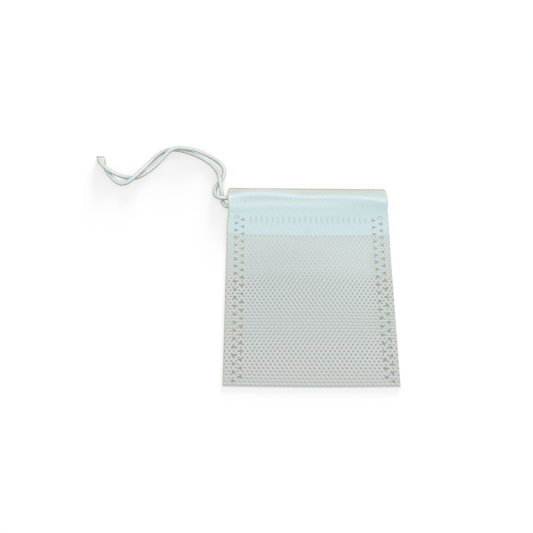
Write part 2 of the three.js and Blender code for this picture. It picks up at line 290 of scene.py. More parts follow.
def front_cord_z(x):
    y = front_cord_y(x)
    heights = [
        front_flap_z(x, y + offset) + THICKNESS / 2 + math.sqrt(max(CORD_REACH**2 - offset**2, 0))
        for offset in np.linspace(-CORD_REACH, CORD_REACH, 9)
    ]
    return np.max(heights, axis=0)


def cord_route(radius):
    """The whole cord's points, with the numbers of those at the bag's left edge."""
    def free(points):
        return [(x - HALF, y + MOUTH_Y, lift + radius) for x, y, lift in points]

    turn_radius = (float(front_cord_z(HALF)) - BACK_CORD_Z) / 2
    turn_x = HALF + TURN_OUTSIDE - radius - turn_radius
    turn_y = float(front_cord_y(HALF))
    xs = np.linspace(-HALF, turn_x, 11)[:-1]
    front = [(x, float(front_cord_y(x)), float(front_cord_z(x))) for x in xs]
    back = [(x, float(back_cord_y(x)), BACK_CORD_Z) for x in xs]
    turn = [
        (turn_x + turn_radius * math.cos(a), turn_y, BACK_CORD_Z + turn_radius * (1 + math.sin(a)))
        for a in np.linspace(math.pi / 2, -math.pi / 2, 6)
    ]
    points = [*free(FRONT_END_POINTS)[::-1], *front, *turn, *back[::-1], *free(BACK_END_POINTS)]
    edges = (len(FRONT_END_POINTS), len(points) - 1 - len(BACK_END_POINTS))
    return np.array(points), edges


class Number:
    """A number in a node tree, on which Python's own signs make the tree's sums."""

    def __init__(self, tree, socket):
        self.tree, self.socket = tree, socket

    def __add__(self, other):
        return maths(self.tree, "ADD", self, other)

    def __sub__(self, other):
        return maths(self.tree, "SUBTRACT", self, other)

    def __rsub__(self, other):
        return maths(self.tree, "SUBTRACT", other, self)

    def __mul__(self, other):
        return maths(self.tree, "MULTIPLY", self, other)

    def __truediv__(self, other):
        return maths(self.tree, "DIVIDE", self, other)

    def __mod__(self, other):
        return maths(self.tree, "FLOORED_MODULO", self, other)

    def __pow__(self, other):
        return maths(self.tree, "POWER", self, other)

    def __abs__(self):
        return maths(self.tree, "ABSOLUTE", self)

    def __lt__(self, other):
        return compare(self.tree, "LESS_THAN", self, other)

    def __gt__(self, other):
        return compare(self.tree, "GREATER_THAN", self, other)


def add_node(tree, kind, inputs=None, **settings):
    """A new node: settings are its properties, and inputs its sockets' links or values, by name or number."""
    node = tree.nodes.new(kind)
    for key, value in settings.items():
        setattr(node, key, value)
    for key, value in (inputs or {}).items():
        if isinstance(value, Number):
            value = value.socket
        if isinstance(value, bpy.types.NodeSocket):
            tree.links.new(value, node.inputs[key])
        else:
            node.inputs[key].default_value = value
    return node


def first_of(tree, kind, inputs=None, **settings):
    """The first output of a new node."""
    return add_node(tree, kind, inputs, **settings).outputs[0]


def maths(tree, operation, *values):
    return Number(tree, first_of(tree, "ShaderNodeMath", dict(enumerate(values)), operation=operation))


def compare(tree, operation, a, b, data_type="FLOAT"):
    first = 0 if data_type == "FLOAT" else 2
    return first_of(tree, "FunctionNodeCompare", {first: a, first + 1: b}, operation=operation, data_type=data_type)


def both_true(tree, *values):
    return reduce(lambda a, b: first_of(tree, "FunctionNodeBooleanMath", {0: a, 1: b}, operation="AND"), values)


def opposite(tree, value):
    return first_of(tree, "FunctionNodeBooleanMath", {0: value}, operation="NOT")


def most(*values):
    """The highest of some numbers in a node tree."""
    return reduce(lambda a, b: maths(a.tree, "MAXIMUM", a, b), values)


def least(*values):
    """The lowest of some numbers in a node tree."""
    return reduce(lambda a, b: maths(a.tree, "MINIMUM", a, b), values)


def parts_of(tree, vector):
    return [Number(tree, part) for part in add_node(tree, "ShaderNodeSeparateXYZ", {0: vector}).outputs]


def vector_of(tree, x=0.0, y=0.0, z=0.0):
    return first_of(tree, "ShaderNodeCombineXYZ", {0: x, 1: y, 2: z})


def spread(tree, value, low, high, new_low=0.0, new_high=1.0, smooth=True):
    """Goes from new_low to new_high as a value goes from low to high."""
    kind = "SMOOTHSTEP" if smooth else "LINEAR"
    inputs = {0: value, 1: low, 2: high, 3: new_low, 4: new_high}
    return Number(tree, first_of(tree, "ShaderNodeMapRange", inputs, interpolation_type=kind, clamp=True))


def geometry_tree(name, sockets):
    """An empty geometry tree with its named inputs, its group input node and its output node."""
    tree = bpy.data.node_groups.new(name, "GeometryNodeTree")
    tree.interface.new_socket("Geometry", in_out="OUTPUT", socket_type="NodeSocketGeometry")
    tree.interface.new_socket("Geometry", in_out="INPUT", socket_type="NodeSocketGeometry")
    for label, kind in sockets:
        tree.interface.new_socket(label, in_out="INPUT", socket_type="NodeSocket" + kind)
    return tree, tree.nodes.new("NodeGroupInput").outputs, tree.nodes.new("NodeGroupOutput")


def end_tree(tree, geometry, material, output):
    real = first_of(tree, "GeometryNodeRealizeInstances", {0: geometry})
    final = first_of(tree, "GeometryNodeSetMaterial", {0: real, "Material": material})
    tree.links.new(final, output.inputs[0])


def finished_mesh(piece):
    """The mesh that an object's modifiers make."""
    graph = bpy.context.evaluated_depsgraph_get()
    return bpy.data.meshes.new_from_object(piece.evaluated_get(graph))


def run_tree(name, base, tree, values):
    """The plain mesh that a geometry tree makes from a base object's data, as a new object at the origin."""
    holder = shown(name + "_base", base)
    modifier = holder.modifiers.new("tree", "NODES")
    modifier.node_group = tree
    for item in tree.interface.items_tree:
        if item.in_out == "INPUT" and item.name in values:
            modifier[item.identifier] = values[item.name]
    mesh = finished_mesh(holder)
    mesh.name = name
    bpy.data.objects.remove(holder)
    return shown(name, mesh)


def shown(name, data):
    """A new object in the scene."""
    shown_object = bpy.data.objects.new(name, data)
    bpy.context.scene.collection.objects.link(shown_object)
    return shown_object


def mesh_of(name, points, faces=()):
    mesh = bpy.data.meshes.new(name)
    mesh.from_pydata(points, [], faces)
    return mesh


def curve_data(name, points):
    curve = bpy.data.curves.new(name, "CURVE")
    curve.dimensions = "3D"
    spline = curve.splines.new("POLY")
    spline.points.add(len(points) - 1)
    spline.points.foreach_set("co", np.column_stack([points, np.ones(len(points))]).ravel())
    return curve


def captured(tree, geometry, *items):
    """Keeps values on a geometry: each item is its kind, its label and its socket."""
    keep = add_node(tree, "GeometryNodeCaptureAttribute", {"Geometry": geometry})
    for kind, label, socket in items:
        keep.capture_items.new(kind, label)
        tree.links.new(socket, keep.inputs[label])
    return keep.outputs


def twisted_cord_tree():
    """A stretch of a twisted cord along a curve, with its length and its way round as a UV map."""
    numbers = ("Start", "End", "Whole length", "Radius", "Ply depth", "Twist pitch", "Step")
    sockets = (*((name, "Float") for name in numbers), ("Material", "Material"))
    tree, given, output = geometry_tree("Twisted cord", sockets)
    start, end, whole_length, radius, ply_depth, twist_pitch, step = (given[name] for name in numbers)
    even = first_of(tree, "GeometryNodeResampleCurve", {"Curve": given["Geometry"], "Length": step}, mode="LENGTH")
    length = add_node(tree, "GeometryNodeSplineParameter").outputs["Length"]
    side = first_of(tree, "GeometryNodeInputNormal")
    kept = captured(tree, even, ("FLOAT", "Along", length), ("VECTOR", "Side", side))
    along = Number(tree, kept["Along"])
    trimmed = add_node(tree, "GeometryNodeTrimCurve", {"Curve": kept[0]}, mode="LENGTH")
    for name, socket in (("Start", start), ("End", end)):
        tree.links.new(socket, next(s for s in trimmed.inputs if s.name == name and s.enabled))
    sides = {"Curve": trimmed.outputs[0], "Normal": kept["Side"]}
    upright = first_of(tree, "GeometryNodeSetCurveNormal", sides, mode="FREE")
    angle = along / twist_pitch * (2 * math.pi)
    turned = first_of(tree, "GeometryNodeSetCurveTilt", {"Curve": upright, "Tilt": angle})
    from_end = least(along, Number(tree, whole_length) - along)
    melted = spread(tree, from_end, 0.0005, 0.0055, 0.7, 1.0, smooth=False)
    sized = first_of(tree, "GeometryNodeSetCurveRadius", {"Curve": turned, "Radius": melted})

    ring = first_of(tree, "GeometryNodeCurvePrimitiveCircle", {"Resolution": 24, "Radius": radius})
    round_part = add_node(tree, "GeometryNodeSplineParameter").outputs["Factor"]
    kept_ring = captured(tree, ring, ("FLOAT", "Round", round_part))
    lobe = abs(maths(tree, "SINE", Number(tree, round_part) * (PLIES * math.pi)))
    grooved = 1.0 - (1.0 - lobe) * ply_depth
    place = first_of(tree, "GeometryNodeInputPosition")
    shrunk = first_of(tree, "ShaderNodeVectorMath", {0: place, "Scale": grooved}, operation="SCALE")
    section = first_of(tree, "GeometryNodeSetPosition", {0: kept_ring[0], "Position": shrunk})
    tube = first_of(tree, "GeometryNodeCurveToMesh", {0: sized, 1: section, "Fill Caps": True})
    lay = {0: tube, "Name": "Lay", "Value": vector_of(tree, along, kept_ring["Round"])}
    mapped = first_of(tree, "GeometryNodeStoreNamedAttribute", lay, data_type="FLOAT2", domain="CORNER")
    smooth = first_of(tree, "GeometryNodeSetShadeSmooth", {0: mapped})
    end_tree(tree, smooth, given["Material"], output)
    return tree


def empty_tree(owner):
    owner.use_nodes = True
    owner.node_tree.nodes.clear()
    return owner.node_tree


def new_material(name, finish):
    """A material with a principled shader, whose sockets are set from finish."""
    material = bpy.data.materials.new(name)
    tree = empty_tree(material)
    shader = add_node(tree, "ShaderNodeBsdfPrincipled", finish)
    add_node(tree, "ShaderNodeOutputMaterial", {0: shader.outputs[0]})
    return material, tree, shader


def give_surface(tree, shader, colour, height, strength, distance):
    """Gives a shader its colour, and a relief of the given depth."""
    relief = first_of(tree, "ShaderNodeBump", {"Strength": strength, "Distance": distance, "Height": height})
    for socket, name in ((colour, "Base Color"), (relief, "Normal")):
        tree.links.new(socket, shader.inputs[name])


def mix_colour(tree, part, low, high):
    """Goes from one colour to another as part goes from 0 to 1."""
    colours = {
        key: colour if isinstance(colour, bpy.types.NodeSocket) else (*colour, 1)
        for key, colour in ((6, low), (7, high))
    }
    return add_node(tree, "ShaderNodeMix", {0: part, **colours}, data_type="RGBA").outputs[2]


def noise(tree, place, scale, detail, **more):
    inputs = {"Vector": place, "Scale": scale, "Detail": detail, **more}
    return Number(tree, first_of(tree, "ShaderNodeTexNoise", inputs))


# The way the cord's painted light comes from: the side facing it is pale, and the sides turned from it are painted in
# shade
PAINTED_LIGHT_WAY = (0.0, -0.2, 0.98)


def facing_painted_light(tree, normal):
    """How far a place on the cord faces the way of its painted light: up, and a little towards the bag's bottom."""
    return add_node(tree, "ShaderNodeVectorMath", {0: normal, 1: PAINTED_LIGHT_WAY}, operation="DOT_PRODUCT").outputs["Value"]


def cord_material(settings):
    """Soft pale fibre, with painted shade that makes it tan at the sides, and fine strands along the plies with
    painted glints.
    """
    finish = {"Roughness": 0.8, "Specular IOR Level": 0.25, "Sheen Weight": 0.12}
    material, tree, shader = new_material("cord_fibre", finish)
    place = add_node(tree, "ShaderNodeTexCoord").outputs
    lay = first_of(tree, "ShaderNodeUVMap", uv_map="Lay")
    stretched = first_of(tree, "ShaderNodeMapping", {"Vector": lay, "Scale": (900.0, 22.0, 1.0)})
    strands = noise(tree, stretched, 1.0, 3.0)
    blotches = noise(tree, place["Object"], 260.0, 2.0)
    # Painted shade: tan where the cord turns from the painted light, pale where it faces it
    pale = spread(tree, facing_painted_light(tree, place["Normal"]), 0.3, 0.86)
    colour = mix_colour(tree, pale, settings.shade_and_blotch_colour, settings.colour)
    # Painted glints: paler streaks along the strands
    streaky = mix_colour(tree, spread(tree, strands, 0.35, 0.7, 0.0, 0.14), colour, PAINTED_FIBRE_GLINT)
    # Random darker blotches, in the colour of the painted side shade
    final = mix_colour(tree, spread(tree, blotches, 0.45, 0.75, 0.0, 0.07), streaky, settings.shade_and_blotch_colour)
    give_surface(tree, shader, final, strands, 0.25, 0.00008)
    return material


def tip_material(settings, end):
    """Melted fibre: smoother than the cord, and tan round its cut end."""
    material, tree, shader = new_material("cord_tip", {"Roughness": 0.5, "Specular IOR Level": 0.4})
    place = add_node(tree, "ShaderNodeTexCoord").outputs
    blotches = noise(tree, place["Object"], 900.0, 3.0)
    # Painted shade, as on the cord: tan where the tip turns from the painted light
    pale = spread(tree, facing_painted_light(tree, place["Normal"]), 0.15, 0.7)
    body = mix_colour(tree, pale, settings.shade_and_blotch_colour, settings.colour)
    worn = mix_colour(tree, spread(tree, blotches, 0.4, 0.7, 0.0, 0.2), body, settings.cut_colour)
    at_cut = spread(tree, parts_of(tree, place["Object"])[1], end - 0.0009, end - 0.0003)
    give_surface(tree, shader, mix_colour(tree, at_cut, worn, settings.cut_colour), blotches, 0.3, 0.0001)
    return material


# The cord's plies, the points on it for each one given, and how far its free ends reach into the tunnels
PLIES = 3
PER_SPAN = 12
HIDDEN_CORD = 0.0015
# The colour of the painted glints along the cord's strands
PAINTED_FIBRE_GLINT = (0.9, 0.95, 0.95)
# The fused tip, from where it starts to its cut face
TIP_LENGTH = 0.0052
TIP_HALF_WIDTH = 0.00178
TIP_HALF_THICKNESS = 0.001


class FILTERBAG_OT_cord(bpy.types.Operator):
    """Lays the drawstring: both free ends, and the stretch in the tunnels between them"""

    bl_idname = "filterbag.cord"
    bl_label = "Lay the drawstring"

    def execute(self, context):
        settings = context.scene.filterbag_cord
        radius = settings.diameter / 2
        points, (front_edge, back_edge) = cord_route(radius)
        route = smooth_route(points, PER_SPAN)
        length = distances(route)
        held_from = length[front_edge * PER_SPAN] + HIDDEN_CORD
        held_to = length[back_edge * PER_SPAN] - HIDDEN_CORD
        cuts = (0.0, held_from, held_to, length[-1])
        material = cord_material(settings)
        tree = twisted_cord_tree()
        made = []
        for name, start, end in zip(("front_free_cord", "held_cord", "back_free_cord"), cuts, cuts[1:]):
            made.append(run_tree(name, curve_data(name, route), tree, {
                "Start": float(start), "End": float(end), "Whole length": float(length[-1]), "Radius": radius,
                "Ply depth": settings.ply_depth, "Twist pitch": settings.twist_pitch, "Step": settings.step,
                "Material": material,
            }))
        front, held, back = made
        tip = fused_tip(route, radius, tip_material(settings, route[0][1] + radius))
        for piece in (front, held, back, tip):
            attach(piece, "root")
            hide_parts("drawstring")
        front_path = route[: front_edge * PER_SPAN + 1][::-1]
        back_path = route[back_edge * PER_SPAN :]
        return {"FINISHED"}


def fused_tip(route, radius, material):
    """The end where both cut strands are melted into one flat, flared tip, which starts as wide as they lie."""
    strands = [(distances(path), path) for path in (route, route[::-1])]
    rings, sides = 22, 32
    bm = bmesh.new()
    rows = []
    for i in range(rings):
        part = i / (rings - 1)
        back = TIP_LENGTH * (1 - part) ** 1.2
        from_end, ahead = max(back - radius, 0), max(radius - back, 0)
        one, other = (np.array([np.interp(from_end, gone, path[:, k]) for k in range(3)]) for gone, path in strands)
        middle = (one + other) / 2
        flared = smoothstep(part, 0.45, 1.0)
        wide = blend(abs(one[0] - other[0]) / 2 + radius * 0.82, TIP_HALF_WIDTH, flared)
        thick = blend(abs(one[2] - other[2]) / 2 + radius * 0.97, TIP_HALF_THICKNESS, flared)
        height = blend(middle[2], thick + 0.00003, flared)
        edge = min(0.55 + part * 3, 1, (1 - part) * 9 + 0.86)
        squareness = 2 / blend(2.2, 4.0, flared)
        row = []
        for j in range(sides):
            angle = 2 * math.pi * j / sides
            c, s = math.cos(angle), math.sin(angle)
            size = edge * (1 + 0.03 * math.cos(9 * angle + 1.3) * flared)
            uneven = 0.00012 * math.sin(3 * angle + 0.7) * flared
            x = middle[0] - ahead * 0.28 + math.copysign(abs(c) ** squareness, c) * wide * size
            z = height + math.copysign(abs(s) ** squareness, s) * thick * size
            row.append(bm.verts.new((x, middle[1] + ahead + uneven, max(z, 0.00002))))
        rows.append(row)
    for low, high in zip(rows, rows[1:]):
        for corners in band(low, high):
            bm.faces.new(corners)
    bm.faces.new(rows[0][::-1])
    bm.faces.new(rows[-1])
    bmesh.ops.recalc_face_normals(bm, faces=bm.faces)
    mesh = bpy.data.meshes.new("fused_tip")
    bm.to_mesh(mesh)
    bm.free()
    mesh.materials.append(material)
    mesh.shade_smooth()
    return shown("fused_tip", mesh)


# The sheet lies flat as it is made: X is across, and Y runs along it from the bottom fold, with the front half above 0
HEM_DEPTH = 0.0234
MOUTH_GAP, BOTTOM_GAP = 0.00015, 0.0003
MOUTH_FOLD = (THICKNESS + MOUTH_GAP) / 2
BOTTOM_FOLD = (THICKNESS + BOTTOM_GAP) / 2
MOUTH_ROW = MOUTH_Y - THICKNESS / 2 - MOUTH_FOLD
BOTTOM_ROW = BOTTOM_Y + THICKNESS / 2 + BOTTOM_FOLD
HEM_EDGE_Y = MOUTH_Y - HEM_DEPTH
FOLD_END = math.pi * BOTTOM_FOLD / 2
PANEL_END = FOLD_END + MOUTH_ROW - BOTTOM_ROW
TURN_END = PANEL_END + math.pi * MOUTH_FOLD
SHEET_END = TURN_END + MOUTH_ROW - HEM_EDGE_Y
CORNER_RADIUS = 0.0016
PANEL_GATHER, FLAP_GATHER = 0.0004, 0.00215


def flat_place(y):
    """How far along the flat sheet from the bottom fold a place on the panels is."""
    return y - BOTTOM_ROW + FOLD_END


def front_panel_z(x, y):
    """The front panel stands a little off the back one, most in the middle, and lies over the tunnels in the hem."""
    across = 1 - np.minimum(np.abs(x) / 0.0262, 1) ** 2.5
    up = 1 - (1 - np.minimum((y - BOTTOM_Y) / 0.022, 1)) ** 2
    swell = 0.0019 * bell(x, 0.005, 0.026) * bell(y, MOUTH_Y - 0.037, 0.012)
    opened = 0.00012 + across * (0.00038 * up + swell)
    body = BACK_PANEL_Z + THICKNESS + blend(BOTTOM_GAP, opened, smoothstep(y, BOTTOM_Y, BOTTOM_Y + 0.004))
    hem = tunnel_roof(front_flap_z(x, y), front_cord_z(x), y - front_cord_y(x))
    return blend(body, hem, smoothstep(y, HEM_EDGE_Y - 0.006, HEM_EDGE_Y))


def drawn_in(x, y, gather):
    """The cord pulls the ends of the layers in, most at its turn, and the mouth's corners are a little rounded."""
    near = 1 - smoothstep(np.abs(y - front_cord_y(HALF)), 0, 0.006)
    past = np.maximum(y - (MOUTH_Y - CORNER_RADIUS), 0)
    rounded = CORNER_RADIUS - np.sqrt(CORNER_RADIUS**2 - past**2)
    x = x + 0.00045 * bell(y, 0.0335, 0.0035) * smoothstep(-x, HALF - 0.005, HALF)
    pulled = gather * near * smoothstep(x, HALF - 0.006, HALF)
    return x - pulled - np.sign(x) * rounded * smoothstep(np.abs(x), HALF - 0.004, HALF)


def sheet_middle(x, v):
    """Where a point on the middle of the flat sheet goes as the sheet is folded."""
    reach = np.abs(v)
    turn = np.clip((reach - PANEL_END) / MOUTH_FOLD, 0, math.pi)
    roll = np.clip(v / BOTTOM_FOLD, -math.pi / 2, math.pi / 2)
    on_panel = np.minimum(BOTTOM_ROW + reach - FOLD_END, MOUTH_ROW)
    y = np.where(reach < TURN_END, on_panel, MOUTH_ROW - (reach - TURN_END))
    y = y + MOUTH_FOLD * np.sin(turn)
    y = np.where(reach < FOLD_END, BOTTOM_ROW - BOTTOM_FOLD * np.cos(roll), y)
    level = np.clip(y, BOTTOM_ROW, MOUTH_ROW)
    front = front_panel_z(x, level)
    panel = np.where(v > 0, front, BACK_PANEL_Z)
    flap = np.where(v > 0, front_flap_z(x, level), back_flap_z(x, level))
    z = (panel + flap) / 2 + (panel - flap) / 2 * np.cos(turn)
    z = np.where(reach < FOLD_END, (front + BACK_PANEL_Z) / 2 + (front - BACK_PANEL_Z) / 2 * np.sin(roll), z)
    gather = np.where(reach < PANEL_END, PANEL_GATHER, FLAP_GATHER)
    bowed = 0.0003 * (1 - (x / HALF) ** 2) * (1 - smoothstep(y, BOTTOM_Y, BOTTOM_Y + 0.015))
    tilted = blend(0.0002, 0.00055, (x + HALF) / (2 * HALF)) * smoothstep(y, MOUTH_Y - 0.0045, MOUTH_Y)
    return np.column_stack([drawn_in(x, y, gather), y - bowed - tilted, z])


def folded(flat):
    """The flat sheet's points, with their depth below its outer face, as they lie in the folded bag."""
    x, v, depth = flat.T
    step = 1e-5
    across = sheet_middle(x + step, v) - sheet_middle(x - step, v)
    along = sheet_middle(x, v + step) - sheet_middle(x, v - step)
    normal = np.cross(across, along)
    normal /= np.linalg.norm(normal, axis=1)[:, None]
    return sheet_middle(x, v) + normal * (THICKNESS / 2 + depth)[:, None]


# Each tile's dot: its turn, the points round its rim, and whether it has a floor
DOT_TURN = 0.9
DOT_FLOOR_SIZE = 0.72
TILES = {
    "Plain tile": None,
    "Front tile rising": (DOT_TURN, 8, True),
    "Front tile falling": (-DOT_TURN, 8, True),
    "Back tile rising": (DOT_TURN, 6, False),
    "Back tile falling": (-DOT_TURN, 6, False),
}
SAME_PLACE = 4e-6


def tile_mesh(name, settings, dot):
    """One repeat of the cloth: six points round it, shared with the tiles beside it, and its pressed dot, if any."""
    p, h, s = settings.dot_pitch / 2, settings.row_pitch / 2, settings.row_shift
    points = [(-p, -h, 0), (p - s, -h, 0), (p, -h, 0), (p, h, 0), (s - p, h, 0), (-p, h, 0)]
    faces = [tuple(range(6))]
    if dot:
        turn, count, floored = dot
        rings = ((1.0, 0.0), (DOT_FLOOR_SIZE, -settings.dot_depth)) if floored else ((1.0, 0.0),)
        for size, z in rings:
            for i in range(count):
                a = 2 * math.pi * (i + 0.5) / count
                u, w = math.cos(a) * settings.dot_length / 2 * size, math.sin(a) * settings.dot_width / 2 * size
                points.append((u * math.cos(turn) - w * math.sin(turn), u * math.sin(turn) + w * math.cos(turn), z))
        rim = list(range(6, 6 + count))
        faces = ring_between(points, list(range(6)), rim)
        if floored:
            floor = [i + count for i in rim]
            faces += [*band(rim, floor), tuple(floor)]
        else:
            points.append((0, 0, -settings.dot_depth))
            faces += [(rim[i], rim[(i + 1) % count], 6 + count) for i in range(count)]
    return bpy.data.objects.new(name, mesh_of(name, points, faces))


def ring_between(points, outer, inner):
    """Triangles between two closed loops round the same middle, both anticlockwise."""
    def angle(i):
        return math.atan2(points[i][1], points[i][0]) % (2 * math.pi)

    outer, inner = sorted(outer, key=angle), sorted(inner, key=angle)
    faces, i, j = [], 0, 0
    n, m = len(outer), len(inner)
    while i < n or j < m:
        next_outer = angle(outer[(i + 1) % n]) + (2 * math.pi if i + 1 >= n else 0)
        next_inner = angle(inner[(j + 1) % m]) + (2 * math.pi if j + 1 >= m else 0)
        if j >= m or (i < n and next_outer <= next_inner):
            faces.append((outer[i % n], outer[(i + 1) % n], inner[j % m]))
            i += 1
        else:
            faces.append((outer[i % n], inner[(j + 1) % m], inner[j % m]))
            j += 1
    return faces


def instanced(tree, model, points, **more):
    """An object's shape at each of some points."""
    shape = add_node(tree, "GeometryNodeObjectInfo", {"Object": model, "As Instance": True}).outputs["Geometry"]
    return first_of(tree, "GeometryNodeInstanceOnPoints", {"Points": points, "Instance": shape, **more})


def cloth_tree():
    """The flat embossed cloth, as tiles on a skewed lattice: dotted outside on both panels, and plain elsewhere."""
    names = ("Width", "Length", "Panel end", "Thickness", "Dot pitch", "Row pitch", "Row shift")
    tree, given, output = geometry_tree("Embossed cloth", (
        *((name, "Float") for name in names), ("Rows", "Int"), ("Columns", "Int"), ("Material", "Material"),
        *((name, "Object") for name in TILES),
    ))
    width, length, panel_end, thickness, pitch, row_pitch, row_shift = (Number(tree, given[name]) for name in names)
    rows, columns = Number(tree, given["Rows"]), Number(tree, given["Columns"])
    half_width, half_length = width * 0.5, length * 0.5
    index = first_of(tree, "GeometryNodeInputIndex")
    row = maths(tree, "FLOOR", Number(tree, index) / columns) - rows * 0.5
    column = maths(tree, "MODULO", index, columns) - maths(tree, "FLOOR", columns * 0.5)
    part = maths(tree, "FRACT", row * row_shift / pitch)
    place = vector_of(tree, (column + part) * pitch, (row + 0.5) * row_pitch)
    points = first_of(tree, "GeometryNodePoints", {"Count": rows * columns, "Position": place})

    x, y, _ = parts_of(tree, first_of(tree, "GeometryNodeInputPosition"))
    inside = abs(x) - pitch * 0.4999 < half_width
    whole = abs(x) + pitch * 0.36 < half_width
    on_panel = abs(y) + row_pitch * 0.6 < panel_end
    dotted = both_true(tree, whole, on_panel)
    front = y > 0.0
    rising = maths(tree, "FLOOR", y / row_pitch) % 2.0 < 0.5
    back, falling = opposite(tree, front), opposite(tree, rising)

    def laid(tile, *where):
        return instanced(tree, given[tile], points, Selection=both_true(tree, inside, *where))

    def merged(*parts):
        """Joined parts, kept within the sheet's outline."""
        real = first_of(tree, "GeometryNodeRealizeInstances", {0: joined(tree, parts)})
        *across, depth = parts_of(tree, first_of(tree, "GeometryNodeInputPosition"))
        limits = (half_width, half_length)
        kept = vector_of(tree, *(most(least(at, limit), limit * -1.0) for at, limit in zip(across, limits)), depth)
        return merge(tree, first_of(tree, "GeometryNodeSetPosition", {0: real, "Position": kept}))

    outer = merged(
        laid("Plain tile", opposite(tree, dotted)),
        laid("Front tile rising", dotted, front, rising),
        laid("Front tile falling", dotted, front, falling),
        laid("Back tile rising", dotted, back, rising),
        laid("Back tile falling", dotted, back, falling),
    )
    rim = compare(tree, "EQUAL", first_of(tree, "GeometryNodeInputMeshEdgeNeighbors"), 1, "INT")
    down = vector_of(tree, z=thickness * -1.0)
    walls = {"Mesh": outer, "Selection": rim, "Offset": down, "Offset Scale": 1.0}
    walled = first_of(tree, "GeometryNodeExtrudeMesh", walls, mode="EDGES")
    lower = first_of(tree, "GeometryNodeSetPosition", {0: merged(laid("Plain tile")), "Offset": down})
    inner = first_of(tree, "GeometryNodeFlipFaces", {0: lower})
    end_tree(tree, merge(tree, joined(tree, (walled, inner))), given["Material"], output)
    return tree


def joined(tree, parts):
    join = add_node(tree, "GeometryNodeJoinGeometry")
    for part in parts:
        tree.links.new(part, join.inputs[0])
    return join.outputs[0]


def merge(tree, geometry):
    return first_of(tree, "GeometryNodeMergeByDistance", {0: geometry, "Distance": SAME_PLACE})


def prism_object(name, outline, low, high):
    """An upright prism on a closed, anticlockwise outline, a little smaller at its foot."""
    count = len(outline)
    points = [(x * size, y * size, z) for size, z in ((0.86, low), (1.02, high)) for x, y in outline]
    foot, top = tuple(range(count)), tuple(range(count, 2 * count))
    return bpy.data.objects.new(name, mesh_of(name, points, [foot[::-1], top, *band(foot, top)]))


def print_tree():
    """One print laid at every point of a mesh, turned by the point's own angle."""
    tree, given, output = geometry_tree("Weld prints", (("Print", "Object"), ("Material", "Material")))
    points = first_of(tree, "GeometryNodeMeshToPoints", {"Mesh": given["Geometry"]})
    angle = first_of(tree, "GeometryNodeInputNamedAttribute", {"Name": "turn"}, data_type="FLOAT")
    laid = instanced(tree, given["Print"], points, Rotation=vector_of(tree, z=angle))
    end_tree(tree, laid, given["Material"], output)
    return tree


def points_mesh(name, places, turns):
    mesh = mesh_of(name, [(x, y, 0) for x, y in places])
    mesh.attributes.new("turn", "FLOAT", "POINT").data.foreach_set("value", np.asarray(turns, np.float32))
    return mesh


# The welds: where they start, how far apart they are, and where the last darts and the ends of the ticks are
WELD_TOP = MOUTH_Y - 0.0161
WELD_END = BOTTOM_Y + 0.0016
SEAM_PITCH = 0.0035
TICK_PITCH = 0.00237
TICKS_FROM_SEAM = 0.00315
CUT_HEIGHT = 0.0001
# A dart that points along +X, with two short horns at its base
DART = (
    (-0.00100, -0.00090), (-0.00058, -0.00078), (0.00010, -0.00042), (0.00098, -0.00014), (0.00098, 0.00014),
    (0.00010, 0.00042), (-0.00058, 0.00078), (-0.00100, 0.00090), (-0.00080, 0.0),
)
TICK = ((-0.00035, -0.0016), (0.00035, -0.0016), (0.00035, 0.0016), (-0.00035, 0.0016))
# An arch, open below
CAP = (
    (-0.00115, -0.0015), (-0.00085, -0.0015), (-0.00085, -0.0003), (-0.0005, 0.00005), (0.0005, 0.00005),
    (0.00085, -0.0003), (0.00085, -0.0015), (0.00115, -0.0015), (0.00115, -0.0002), (0.00065, 0.00035),
    (-0.00065, 0.00035), (-0.00115, -0.0002),
)
# Each kind of weld's outline, with its depth as a share of a whole weld's
WELDS = {"dart": (DART, 1.0), "tick": (TICK, 0.6), "cap": (CAP, 0.5)}


def column_x(side, column, y):
    """The middle of a seam's column of darts, at a place along the bag."""
    down = (WELD_TOP - y) / 0.09
    if side > 0:
        inset, apart, moved = 0.005 - 0.00155 * down, 0.0029 - 0.0009 * down, -0.00005 - 0.00015 * down
    else:
        inset, apart, moved = 0.0057, 0.0025 - 0.0002 * down, -0.0003
    return side * (HALF - inset) + column * apart / 2 + moved


def dart_y(side, y):
    """The seams' darts crowd a little towards the mouth in the middle of the bag."""
    if side > 0:
        return y + 0.0014 * bell(y, 0.002, 0.017) - 0.0003 * max(y / WELD_TOP, 0)
    return y + 0.0009 * bell(y, 0.003, 0.011)


def weld_places():
    """Where the darts, the ticks and the caps over the outer columns are on a panel, with their turns."""
    darts, caps = [], []
    for side in (-1, 1):
        for column in (-1, 1):
            y = WELD_TOP - (SEAM_PITCH / 2 if column == side else 0)
            if column == side:
                caps.append((column_x(side, column, y), dart_y(side, y) + SEAM_PITCH * 0.97, 0.0))
            while y > WELD_END:
                darts.append((column_x(side, column, y), dart_y(side, y), math.pi if column > 0 else 0.0))
                y -= SEAM_PITCH
    first, last = column_x(-1, 1, WELD_TOP) + TICKS_FROM_SEAM, column_x(1, -1, WELD_TOP) - TICKS_FROM_SEAM
    count = int((last - first) / TICK_PITCH)
    middle = (first + last) / 2
    ticks = [(middle + (i - count / 2) * TICK_PITCH, WELD_TOP - 0.0004 * i / count, 0.0) for i in range(count + 1)]
    return {"dart": darts, "tick": ticks, "cap": caps}


